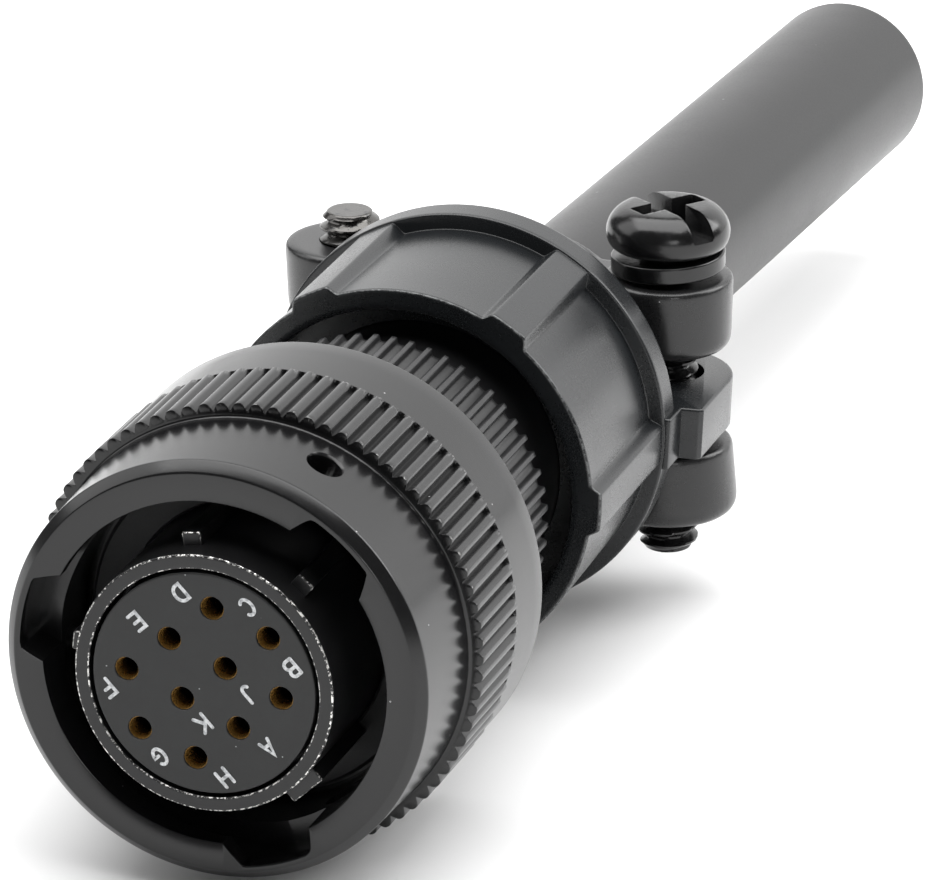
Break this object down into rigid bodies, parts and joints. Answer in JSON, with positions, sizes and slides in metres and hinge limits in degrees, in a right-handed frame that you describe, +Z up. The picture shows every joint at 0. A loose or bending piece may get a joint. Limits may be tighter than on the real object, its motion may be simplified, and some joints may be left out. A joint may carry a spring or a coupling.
{
  "type": "circular bayonet cable connector",
  "caption": "Straight circular bayonet plug with knurled coupling ring, keyed socket face, ribbed backshell, two-saddle cable clamp and rubber sleeve.",
  "frame": {"origin": "on the plug's axis, at the front rim of the keyed shell (the mating face)", "axes": "+Y along the plug's axis, from the mating face towards the sleeve; +Z up along the clamp screws; +X to the right seen from the mating face"},
  "size_m": [0.0276, 0.1139, 0.0256],
  "materials": {
    "anodised_ring": "black anodised, satin, worn at the edges",
    "anodised_shell": "black anodised, satin, worn at the edges",
    "cast_black": "black painted casting, satin",
    "black_steel": "black oxide, glossy",
    "spring_steel": "plain",
    "contact_brass": "bright, thinly gilt",
    "carrier_plastic": "matte, moulded, with light position letters",
    "follower_plastic": "plain",
    "seal_rubber": "matte",
    "grommet_rubber": "matte",
    "sleeve_rubber": "matte, slightly dusty"
  },
  "bodies": {
    "plug": {"plug_shell": "anodised_shell", "interface_seal": "seal_rubber", "socket_insert": "carrier_plastic", "socket_a": "contact_brass", "socket_b": "contact_brass", "socket_c": "contact_brass", "socket_d": "contact_brass", "socket_e": "contact_brass", "socket_f": "contact_brass", "socket_g": "contact_brass", "socket_h": "contact_brass", "socket_j": "contact_brass", "socket_k": "contact_brass", "wire_grommet": "grommet_rubber", "grommet_follower": "follower_plastic", "wave_spring": "spring_steel", "backshell": "cast_black", "cable_sleeve": "sleeve_rubber"},
    "thrust_washer": {"thrust_washer": "spring_steel"},
    "coupling_ring": {"coupling_ring": "anodised_ring", "retaining_ring": "spring_steel"},
    "upper_saddle": {"upper_saddle": "cast_black", "right_lock_washer": "black_steel"},
    "lower_saddle": {"lower_saddle": "cast_black", "left_lock_washer": "black_steel"},
    "right_screw": {"right_clamp_screw": "black_steel"},
    "left_screw": {"left_clamp_screw": "black_steel"}
  },
  "joints": [
    {"name": "ring_give", "type": "slide", "parent": "plug", "child": "thrust_washer", "axis": [0, -1, 0], "range_m": [0, 0.0007], "stiffness_N_per_m": 4000, "springref_m": -0.002, "deforming": ["wave_spring"]},
    {"name": "ring_turn", "type": "hinge", "parent": "thrust_washer", "child": "coupling_ring", "pos_m": [0, 0.012, 0], "axis": [0, 1, 0], "continuous": true},
    {"name": "upper_saddle_lift", "type": "slide", "parent": "plug", "child": "upper_saddle", "axis": [0, 0, 1], "range_m": [0, 0.00119]},
    {"name": "lower_saddle_drop", "type": "slide", "parent": "plug", "child": "lower_saddle", "axis": [0, 0, -1], "range_m": [0, 0.00119]},
    {"name": "right_screw_turn", "type": "hinge", "parent": "upper_saddle", "child": "right_screw", "pos_m": [0.0097, 0.0506, 0.009], "axis": [0, 0, 1], "range_deg": [0, 1080]},
    {"name": "left_screw_turn", "type": "hinge", "parent": "lower_saddle", "child": "left_screw", "pos_m": [-0.0097, 0.0506, -0.009], "axis": [0, 0, -1], "range_deg": [0, 1080]}
  ],
  "couplings": [
    {"joint": "lower_saddle_drop", "follows": "upper_saddle_lift", "ratio": 1},
    {"joint": "right_screw_turn", "follows": "upper_saddle_lift", "rad_per_m": 15827},
    {"joint": "left_screw_turn", "follows": "upper_saddle_lift", "rad_per_m": 15827}
  ]
}
